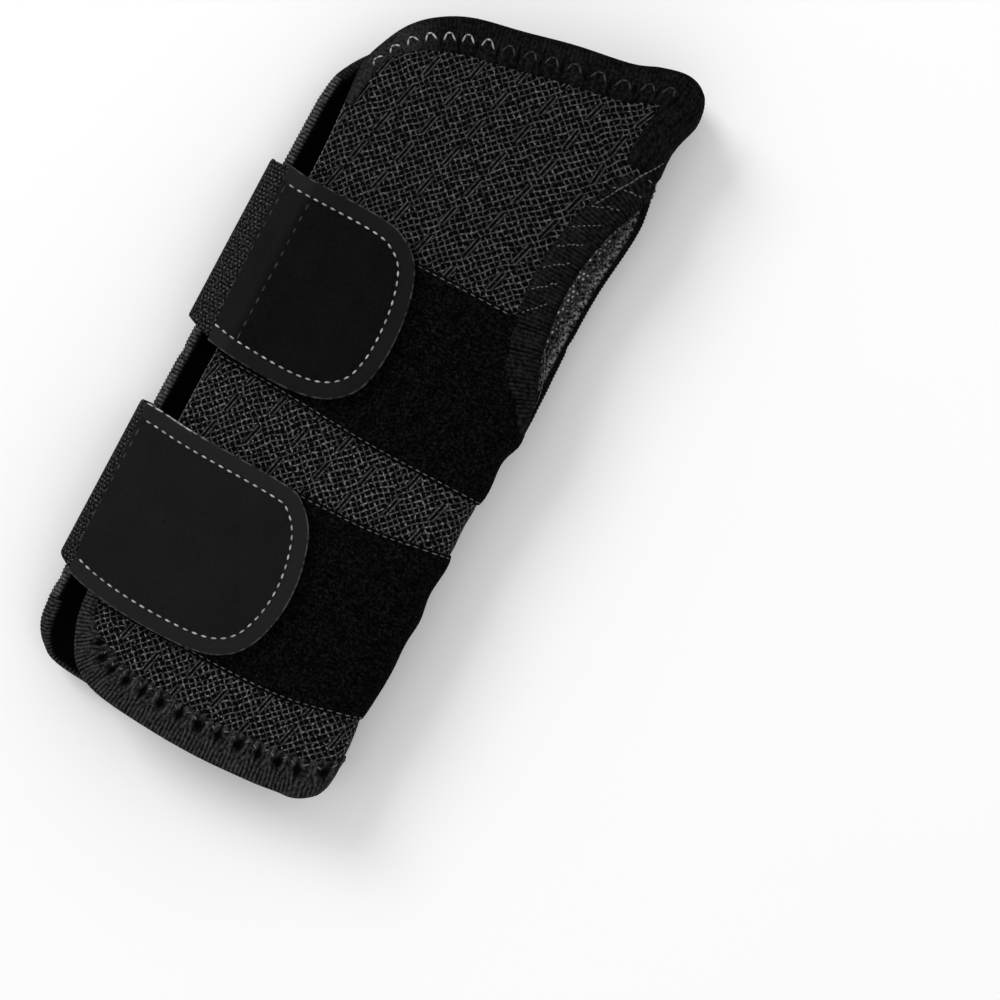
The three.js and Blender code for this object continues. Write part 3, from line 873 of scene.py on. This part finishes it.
def spacer_mesh():
    """The lining's knitted spacer mesh: rows of bright knots and small holes over a pale grey face."""
    c = Cloth("spacer_mesh", grey(0.05), 0.85, 0.05)
    row = c.y / 1.35
    hole = ((c.s / 1.6 + row.floor() * 0.5).fract() - 0.5).size() * 2.0
    gap = (row.fract() - 0.5).size() * 2.0
    ring = (hole * hole + gap * gap).to_power(0.5)
    face = ring.ramp(0.5, 0.8)
    knots = ring.ramp(0.72, 0.42) * c.noise(0.45, 1.0).ramp(0.4, 0.55)
    soft = c.noise(0.5, 3.0)
    c.colour(face * (0.02 + 0.14 * soft) + knots, grey(0.006), grey(0.95))
    c.relief(face * 0.6 + knots, 0.5)


def hook_plastic():
    """Moulded hook tape."""
    c = Cloth("hook_plastic", grey(0.008), 0.5, 0.15)
    pips = (c.s / 1.3).triangle() * (c.y / 1.5).triangle()
    c.colour(pips * 0.7 + c.noise(0.9, 2.0) * 0.3, grey(0.004), grey(0.02))
    c.rough(0.42 + c.noise(1.7, 2.0) * 0.25)
    c.relief(pips.ramp(0.2, 0.8), 0.3)


def brushed_aluminium():
    c = Cloth("brushed_aluminium", grey(0.6), 0.35, 0.5, 1.0)
    long_grain = c.noise(4.0, 3.0, c.flat(c.s, c.y * 0.03))
    stains = c.noise(0.08, 2.0)
    c.colour(long_grain * 0.7 + stains * 0.3, grey(0.42), grey(0.68))
    c.rough(0.28 + long_grain * 0.25)
    c.relief(long_grain, 0.03)


def pocket_weave():
    """Plain woven nylon."""
    c = Cloth("pocket_weave", grey(0.012), 0.7, 0.1)
    warp = (c.s / 0.7).triangle()
    weft = (c.y / 0.7).triangle()
    over = ((c.s / 0.7).floor() + (c.y / 0.7).floor()).maths("MODULO", 2.0)
    face = warp * over + weft * (1.0 - over)
    c.colour(face * 0.7 + c.noise(0.2, 2.0) * 0.3, grey(0.005), grey(0.03))
    c.relief(face, 0.16)


def foam_rubber():
    c = Cloth("foam", grey(0.03), 0.95, 0.05)
    cells = c.cells(1.1)
    c.colour(cells + c.noise(0.3, 2.0) * 0.2, grey(0.015), grey(0.05))
    c.relief(cells, 0.25)


def matt_floor():
    """The studio floor."""
    c = Cloth("floor_paper", grey(0.9), 1.0, 0.0)
    c.colour(c.noise(0.01, 1.0), (0.925, 0.925, 0.925, 1), (0.935, 0.935, 0.935, 1))


jacquard_cloth()
velour_cloth()
elastic_knit()
spacer_mesh()
hook_plastic()
brushed_aluminium()
pocket_weave()
foam_rubber()
matt_floor()
tape_knit("cuff_knit", 0.062, 0.75, (CUFF_PITCH, 6.4, 2.1, 3.0))
# The lip's facing is painted near black, which also paints the shade in its channel.
tape_knit("lip_knit", 0.11, 0.8, facing_at=NOSE_RUN - 1.2)
tape_knit("thumb_knit", 0.03, 0.35, nose=0.4, ridge=1.0, facing_at=2.1)
nubuck_leather("upper_nubuck", 0.0, 0.045)
nubuck_leather("lower_nubuck", 0.055, 0.0, corner=-34.0)
for name, pale in (("pale_thread", 0.55), ("worn_thread", 0.2), ("grey_thread", 0.055)):
    sewing_thread(name, pale)


def finished(piece, material):
    piece.data.materials.append(MATERIALS[material])
    return piece


# ---------------------------------------------------------------- pieces round the fold


def on_wrap(piece):
    """Bakes the placing of a piece round the fold, from palm leaf to back-of-hand leaf, into its mesh."""
    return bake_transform(piece)


# ---------------------------------------------------------------- the wrap's layers

FOAM_SHORT = 0.8  # from the cloth's edge to the foam's
FACE = 1.25  # from the middle of the wrap to the back of its outer cloth and of its lining


def wrap_ply(name, bottom, top, spacing, material, *nodes):
    """A layer of the wrap."""
    loop, hole = wrap_loop, thumb_loop
    if material == "foam":
        loop, hole = inset(wrap_loop, FOAM_SHORT), inset(thumb_loop[::-1], -FOAM_SHORT)
    piece = finished(patch(name, wrap, loop, top, bottom, spacing, [hole], rim=0.3), material)
    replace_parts(piece, *nodes)
    on_wrap(piece)


SHELL_NODES = ["hand_panel", "wrist_panel", "cuff_panel", "palm_panel"]
wrap_ply("wrap_shell", FACE, HALF, 1.5, "jacquard", *SHELL_NODES)
wrap_ply("wrap_foam", -1.2, 1.2, 3.0, "foam", "dorsal_foam", "palm_foam")
wrap_ply("wrap_lining", -HALF, -FACE, 2.0, "spacer_mesh", "dorsal_lining", "palm_lining")


# ---------------------------------------------------------------- loop bands

PILE = 0.55
BAND_TAIL = on_palm(18.0)
BAND_FREE = float(on_dorsal(-34.3))


def band_edge(seam, offset=0.0):
    """A seam's line from the palm side round to the open side."""
    s = np.linspace(BAND_TAIL, BAND_FREE, 90)
    return np.stack([s, seam(s) + offset], 1)


hole_clear = inset(thumb_loop[::-1], -1.0)


def below_hole(y):
    """The part of the thumb hole's edge below y, from the palm side to the back of the hand."""
    low = hole_clear[:, 1] < y
    first = int(np.argmax(low & ~np.roll(low, 1)))
    turned = np.roll(hole_clear, -first, 0)
    return turned[: int(low.sum())]


def loop_band(name, low, high, nodes):
    """Loop cloth sewn over the wrap, cut away where its edge meets the thumb hole."""
    bottom, top = band_edge(SEAMS[low]), band_edge(SEAMS[high])
    kept = ~inside(top, hole_clear)
    if not kept.all():
        first = int(np.argmin(kept))
        last = len(kept) - int(np.argmin(kept[::-1]))
        top = np.vstack([top[:first], below_hole(top[first, 1]), top[last:]])
    loop = np.vstack([bottom, top[::-1]])
    piece = finished(patch(name, wrap, loop, HALF + PILE, HALF - 0.1, 1.6, rim=0.5), "velour")
    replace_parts(piece, *nodes)
    return on_wrap(piece)


loop_band("upper_loop", "wrist_high", "hand", ["upper_loop_band", "upper_loop_tail"])
loop_band("lower_loop", "cuff", "wrist_low", ["lower_loop_band", "lower_loop_tail"])


# ---------------------------------------------------------------- bindings

finger_end = Edge(finger_curve, step=0.35)
cuff_end = Edge(cuff_curve, step=0.2)
open_side = Edge(free_curve, step=1.0, soften=6)
lip_side = Edge(lip_curve, step=0.2, soften=6)
hole_edge = Edge(thumb_loop[::-1], closed=True, step=0.2, soften=5)

FINGER_PULLS = (FINGER_PITCH, 6.2, 0.55, 3.2)
tape_knit("finger_knit", 0.024, 0.2, FINGER_PULLS, finger_end.total - 36, 0.6)
CORNER_LOW = 79.5  # how far down the finger corner's patch comes
LIP_BACK = 13.0  # how deep the lip's facing, painted black also as the channel's shade, goes under the upper leaf


def finger_reach(q):
    """Nine millimetres, widened to a patch over the folded corner and narrowed down the open side."""
    patch_part = step01(np.abs(q[:, 0]), 12.0, 7.5)
    side = 1.4 + 2.2 * step01(q[:, 1], 58, 72) + 5.6 * step01(q[:, 1], 72, 96)
    return side * (1 - patch_part) + patch_part * (q[:, 1] - CORNER_LOW)


def finger_back(q):
    """Inside the palm leaf's open side the tape is as deep as the lip's facing."""
    lip = step01(q[:, 0], LIP_S + 26, LIP_S + 8)
    return finger_reach(q) * (1 - lip) + LIP_BACK * lip


def cuff_reach(q):
    return 3.2 + 6.2 * step01(q[:, 1], -88, -102)


def cuff_back(q):
    lip = step01(q[:, 0], LIP_S + 22, LIP_S + 8)
    return cuff_reach(q) * (1 - lip) + LIP_BACK * lip


def thumb_reach(q):
    across = step01(q[:, 0], -4, 9)
    ends = step01(q[:, 1], 10, 22)
    return 4.6 + 3.2 * across * (0.35 + 0.65 * ends)


def thumb_back(q):
    """Narrow on the palm side, where the lining shows through the hole."""
    return 2.4 + 1.6 * step01(q[:, 0], 0, 8)


def same_reach(width):
    return lambda q: np.full(len(q), width)


def tape(piece, material, nodes, body=None):
    """A binding with its material, on one body or round the fold."""
    finished(piece, material)
    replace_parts(piece, *nodes)
    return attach(piece, body) if body else on_wrap(piece)


shapes = [
    gathers(finger_end, FINGER_PITCH, 0.16),
    pits(finger_end, FINGER_PITCH, 6.2, 0.6, 0.45, 1.8),
    ribs(finger_end, 0.08, RIB),
]
piece = binding("finger_binding", finger_end, finger_reach, finger_back, shapes)
tape(piece, "finger_knit", ["dorsal_finger_tape", "palm_finger_tape"])

shapes = [
    ribs(cuff_end, 0.36, RIB),
    gathers(cuff_end, CUFF_PITCH, 0.25),
    pits(cuff_end, CUFF_PITCH, 6.6, 0.9, 1.0, 1.7),
]
piece = binding("cuff_binding", cuff_end, cuff_reach, cuff_back, shapes)
tape(piece, "cuff_knit", ["dorsal_cuff_tape", "palm_cuff_tape"])

reaches = same_reach(1.3), same_reach(6.0)
piece = binding("open_edge_turning", open_side, *reaches, (), top=HALF + 0.35, cloth_grain=True)
tape(piece, "jacquard", ["dorsal_edge_tape"], "dorsal_leaf")

shapes = [ribs(lip_side, 0.3, RIB)]
piece = binding("lip_binding", lip_side, same_reach(3.2), same_reach(LIP_BACK), shapes)
tape(piece, "lip_knit", ["palm_edge_tape"], "root")

shapes = [
    ribs(hole_edge, 0.2, RIB),
    gathers(hole_edge, THUMB_PITCH, 0.5),
    pits(hole_edge, THUMB_PITCH, 5.4, 0.4, 0.5, 1.6),
]
piece = binding("thumb_binding", hole_edge, thumb_reach, thumb_back, shapes)
tape(piece, "thumb_knit", ["dorsal_thumb_tape", "palm_thumb_tape"])


# ---------------------------------------------------------------- stitching on the wrap


def reach_at(edge, reach, t):
    return float(reach(edge.at(t, 0)[None])[0])


def arches(edge, pitch, reach):
    """Stitches like small arches along an edge, each a row of three marks: up, across and down. They are
    smaller where the tape is narrow."""
    found = []
    for t in np.arange(pitch, edge.total - pitch / 2, pitch):
        width = min(reach_at(edge, reach, t), 9.0)
        lean = rng.uniform(-0.2, 0.2)
        top, foot = 0.42 * width, 0.66 * width
        left, right = t - 0.7 + lean, t + 0.7 + lean
        level = top + rng.uniform(-0.2, 0.2)
        found.append([(t - 1.8, foot, left, top), (left, top, right, level), (right, top, t + 1.8, foot)])
    return found


def ticks(edge, pitch, d, length, slant, shift):
    """Marks of one short stitch at each pull of the tape."""
    pitch = edge.fitted(pitch)
    marks = []
    for t in np.arange(pitch * shift, edge.total - 1, pitch):
        t = t + rng.uniform(-0.3, 0.3)
        marks.append((t - length / 2, d - slant / 2, t + length / 2, d + slant / 2))
    return marks


bright_marks, plain_marks = [], []
for arch in arches(finger_end, FINGER_PITCH, finger_reach):
    s_mid, y_mid = finger_end.at(arch[1][0], 0)
    if s_mid > on_dorsal(-6) and y_mid > 72:
        bright_marks += arch
    elif APEX < s_mid < on_dorsal(-6):
        plain_marks += arch
edge_thread("finger_stitching_bright", finger_end, bright_marks, 0.05, 0.26, "pale_thread")
edge_thread("finger_stitching_plain", finger_end, plain_marks, 0.05, 0.26, "grey_thread")

cuff_marks = ticks(cuff_end, CUFF_PITCH, 8.2, 1.3, 0.7, 0.8)
cuff_marks += ticks(cuff_end, CUFF_PITCH, 7.8, 1.2, -0.9, 0.2)
cuff_marks = [mark for mark in cuff_marks if reach_at(cuff_end, cuff_reach, mark[0]) > 8.6]
edge_thread("cuff_stitching", cuff_end, cuff_marks, 0.1, 0.2, "worn_thread")

THUMB_ROW_LEAN = 0.75  # how far along the thumb tape a row of stitches moves at each stitch
thumb_marks = []
thumb_pitch = hole_edge.fitted(THUMB_PITCH)
for t in np.arange(thumb_pitch / 2, hole_edge.total, thumb_pitch):
    reach_here = reach_at(hole_edge, thumb_reach, t)
    if reach_here > 5.4 and hole_edge.at(t, 0)[1] > 32:
        for k in range(6):
            d = reach_here * (0.88 - 0.11 * k)
            along = t + THUMB_ROW_LEAN * k + rng.uniform(-0.2, 0.2)
            thumb_marks.append((along, d, along + THUMB_ROW_LEAN * rng.uniform(0.4, 0.9), d - 0.6))

edge_thread("thumb_stitching", hole_edge, thumb_marks, 0.1, 0.2, "worn_thread")

free_row = running(open_side.at(open_side.t, -0.8), 1.5, 1.45, HALF * 0.9)
free_thread = thread("open_edge_stitching", wrap, free_row, 0.17, "worn_thread")
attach(free_thread, "dorsal_leaf")

rim = hole_edge.at(hole_edge.t, -1.0)
rim = rim[(rim[:, 0] > 0.5) & (rim[:, 1] > 9) & (rim[:, 1] < 28)]
crease = smooth([(float(on_dorsal(30)), 66.6), (9.5, 75.4), (7.5, 79.1), (3.0, 85.2)])
rim_rows = np.vstack([running(rim, 1.5, 1.45, 1.5), running(crease, 1.5, 1.3, HALF + 0.8)])
on_wrap(thread("thumb_rim_stitching", wrap, rim_rows, 0.17, "worn_thread"))

hem_lines = []
for name, offset in (("hand", -0.7), ("wrist_high", 0.7), ("wrist_low", -0.7), ("cuff", 0.7)):
    line = band_edge(SEAMS[name], offset)
    if name == "hand":  # the thumb hole interrupts this one
        hem_lines += [line[line[:, 0] < -5.5], line[line[:, 0] > 19.5]]
    else:
        hem_lines.append(line)
hem_rows = np.vstack([running(line, 2.1, 1.9, HALF + PILE * 0.7) for line in hem_lines])
on_wrap(thread("hem_stitching", wrap, hem_rows, 0.18, "worn_thread"))


# ---------------------------------------------------------------- straps

TAB_BORDER = 4.3  # from a strap's edge to its row of stitches
STITCH_PITCH = 2.55
STITCH_LENGTH = 1.5


def tab_shape(s, y, d):
    """The nubuck dips along its stitches and is soft towards the middle."""
    groove = -0.22 * np.exp(-(((d - TAB_BORDER) / 0.8) ** 2))
    pull = 0.05 * np.sin(y / 5.1 + s / 7.0) + 0.04 * np.sin(s / 3.7 - y / 9.0)
    return groove + pull + 0.16 * step01(d, TAB_BORDER, 12)


def cut_across(curve, a, margin):
    """The y range of an outline at a, drawn in by a margin."""
    turn = int(curve[:, 0].argmax())
    top, bottom = curve[: turn + 1], curve[turn:][::-1]
    return np.interp(a, bottom[:, 0], bottom[:, 1]) + margin, np.interp(a, top[:, 0], top[:, 1]) - margin


HOOK_GRID = (1.5, 1.3)
HOOK_FOOT = -WEB_HALF - 0.3
HOOK_HEIGHT = 0.95
HOOK_RISE = np.array([0.0, 0.6, 0.92, 1.0, 0.8])  # of its height, at each ring of a hook
HOOK_LEAN = np.array([0.0, 0.04, 0.2, 0.42, 0.6])
HOOK_RADIUS = np.array([0.24, 0.2, 0.19, 0.17, 0.12])


def hook_rows(name, loop):
    """Rows of moulded hooks under a strap, bent over one way and the other in turn."""
    low, high = loop.min(0) + 0.8, loop.max(0)
    grid = np.meshgrid(*(np.arange(low[k], high[k], HOOK_GRID[k]) for k in (0, 1)), indexing="ij")
    turn = np.where(np.arange(len(grid[0])) % 2, 1, -1)[:, None] + 0 * grid[0]
    at = np.stack([*grid, turn], -1).reshape(-1, 3)
    at = at[inside(at, loop)]
    at = at[edge_distance(at[:, :2], [loop]) > 0.7]
    around = np.radians([45, 135, 225, 315])
    s, y, turn = at.T[:, :, None, None]
    s = s + HOOK_RADIUS[:, None] * np.cos(around)
    y = y + turn * HOOK_LEAN[:, None] + HOOK_RADIUS[:, None] * np.sin(around)
    n = HOOK_FOOT - HOOK_HEIGHT * HOOK_RISE[:, None] + 0 * s
    return tubes(name, strap.at(s, y, n), np.stack([s, y], -1))


def make_strap(name, spec):
    """The sewn-down end, the free end with its facing and its hooks, and the stitches."""
    body = f"{name}_strap"
    outline = np.array(spec["outline"], float)
    outline[:, 0] = [0.0 if x < -45 else float(on_strap(x)) for x in outline[:, 0]]
    curve = smooth(outline, step=0.8)
    low, high, root = outline[-1, 1], outline[0, 1], strap.s[0]

    def ply(kind, node, loop, top, bottom, spacing, rim, material, slot=None, **more):
        piece = patch(f"{body}_{kind}", strap, loop, top, bottom, spacing, rim=rim, **more)
        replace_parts(finished(piece, material), f"{body}_{node}")
        return piece

    loop = np.array([(root, low), (0.25, low), (0.25, high), (root, high)], float)
    anchor = ply("anchor_web", "anchor", loop, WEB_HALF, -WEB_HALF, 1.4, 0.45, "elastic")
    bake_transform(anchor)

    loop = strap_loop(hem_row(curve, 0.5), 0.0)
    web = ply("elastic", "web", loop, WEB_HALF, -WEB_HALF, 1.4, 0.45, "elastic")
    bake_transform(web)

    start = float(on_strap(spec["tab"]))
    loop = strap_loop(curve, start, 1.3)
    edge = {"shape": tab_shape, "border": np.vstack([curve, [(-40, curve[-1, 1]), (-40, curve[0, 1])]])}
    facing = (TAB_TOP, WEB_HALF - 0.05, 1.1, 0.55, f"{name}_nubuck", "nubuck")
    tab = ply("nubuck", "tab", loop, *facing, **edge)
    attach(tab, body)

    loop = strap_loop(hem_row(curve, 2.0), float(on_strap(-22)))
    hook = ply("hooks", "hook", loop, -WEB_HALF, -WEB_HALF - 0.45, 1.6, 0.2, "hook_plastic", "hook")
    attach(hook, body)
    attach(finished(hook_rows(f"{body}_hook_rows", loop), "hook_plastic"), body)

    row = hem_row(curve, TAB_BORDER)
    row = running(row[row[:, 0] > start + 1.2], STITCH_PITCH, STITCH_LENGTH, TAB_TOP - 0.08)
    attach(thread(f"{body}_stitching", strap, row, 0.27, "pale_thread"), body)

    ties = []
    for x in [spec["tab"] + 0.6, *spec["rows"]]:
        s = float(on_strap(x))
        line = np.array([(s, y) for y in cut_across(curve, s, TAB_BORDER + 0.5)])
        ties.append(running(even(line, 1.0), 3.4, 2.2, TAB_TOP - 0.02))
    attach(thread(f"{body}_tie_rows", strap, np.vstack(ties), 0.26, "grey_thread"), body)


for strap_name, strap_spec in STRAPS.items():
    make_strap(strap_name, strap_spec)


# ---------------------------------------------------------------- stay and pocket


def rounded_bar(x0, x1, y0, y1, r):
    """A rectangle with round corners, anticlockwise."""
    middles = [(x1 - r, y1 - r), (x0 + r, y1 - r), (x0 + r, y0 + r), (x1 - r, y0 + r)]
    return np.vstack([arc(*at, r, 90 * k, 90 * k + 90, 8) for k, at in enumerate(middles)])


(px0, py0, pz0), (px1, py1, pz1) = np.array(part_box("stay_pocket")) / MM
(sx0, sy0, sz0), (sx1, sy1, sz1) = np.array(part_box("palm_stay")) / MM
FLANGE = 3.0
PLY = 0.4  # half of the pocket cloth's thickness
tray = [(px0, pz1 - PLY), (px0 + FLANGE - 0.6, pz1 - PLY), (px0 + FLANGE, pz0 + PLY + 0.5)]
tray += [(px0 + FLANGE + 0.8, pz0 + PLY)]
tray += [(px0 + px1 - x, z) for x, z in tray[::-1]]


def closed_end(x, y, z):
    """The pocket's finger end comes up to the palm."""
    return x, np.maximum(z, (pz1 - PLY) * step01(y, py1 - 4.2, py1 - 3.0))


pocket_section = Section(np.array(tray), soften=2, bend=closed_end)
left, right = pocket_section.s[[0, -1]]
pocket_loop = rounded_bar(left, right, py0, py1, 1.0)
pocket = patch("palm_pocket", pocket_section, pocket_loop, PLY, -PLY, 1.3, rim=0.3)
finished(pocket, "pocket_weave")
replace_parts(pocket, "stay_pocket")
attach(pocket, "root")

far = py1 - 1.4
sides = [
    [(left + 1.4, py0 + 2), (left + 1.4, far)],
    [(right - 1.4, py0 + 2), (right - 1.4, far)],
    [(left + 2.5, far), (right - 2.5, far)],
]
rows = np.vstack([running(even(np.array(side), 1.0), 3.0, 1.9, PLY) for side in sides])
pocket_thread = thread("pocket_stitching", pocket_section, rows, 0.2, "grey_thread")
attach(pocket_thread, "root")

stay_section = Section(np.array([(sx0, (sz0 + sz1) / 2), (sx1, (sz0 + sz1) / 2)]))
stay_half = (sz1 - sz0) / 2
width = stay_section.s[-1]
stay_loop = rounded_bar(0, width, sy0, sy1, width / 2 - 0.5)
stay = patch("metal_stay", stay_section, stay_loop, stay_half, -stay_half, 2.5, rim=0.4)
finished(stay, "brushed_aluminium")
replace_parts(stay, "palm_stay")
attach(stay, "stay")


# ---------------------------------------------------------------- floor, light and camera

FLOOR_HALF = 6000.0
floor_loop = np.array([(-1, -1), (1, -1), (1, 1), (-1, 1)]) * FLOOR_HALF
floor_points = np.column_stack([floor_loop, np.full(4, -0.2)])
floor = new_object("floor", floor_points, [(0, 1, 2, 3)], floor_loop, solid=False)
floor.data.materials.append(MATERIALS["floor_paper"])

TURN = math.radians(28)  # the guard lies turned clockwise in the picture
PIXEL = 0.26 * MM  # what one pixel of the picture spans on the guard
LENS = 90.0
DISTANCE = PIXEL * 1000 * LENS / 36
LOOK_AT = Vector((0.0477, -0.0126, 0.020))

camera = bpy.data.objects.new("camera", bpy.data.cameras.new("camera"))
bpy.context.collection.objects.link(camera)
camera.data.lens = LENS
camera.location = LOOK_AT + Vector((0, 0, DISTANCE))
camera.rotation_euler = (0, 0, TURN)
bpy.context.scene.camera = camera


def softbox(name, direction, distance, size, power):
    """A square light facing the guard from a direction seen in the picture."""
    data = bpy.data.lights.new(name, "AREA")
    data.shape, data.size, data.energy = "SQUARE", size, power
    light = bpy.data.objects.new(name, data)
    bpy.context.collection.objects.link(light)
    away = Vector(direction).normalized()
    away.rotate(camera.rotation_euler)
    light.location = Vector((0, 0, 0.01)) + away * distance
    light.rotation_mode = "QUATERNION"
    light.rotation_quaternion = away.to_track_quat("Z", "Y")


softbox("key", (-0.75, 0.9, 0.9), 3.0, 1.3, 42.0)
softbox("fill", (0.9, 0.1, 1.1), 3.0, 2.0, 8.0)

world = bpy.data.worlds.new("studio")
bpy.context.scene.world = world
world.use_nodes = True
world.node_tree.nodes["Background"].inputs["Color"].default_value = (1.0, 1.0, 1.0, 1)
world.node_tree.nodes["Background"].inputs["Strength"].default_value = 0.74
bpy.context.scene.view_settings.view_transform = "Standard"
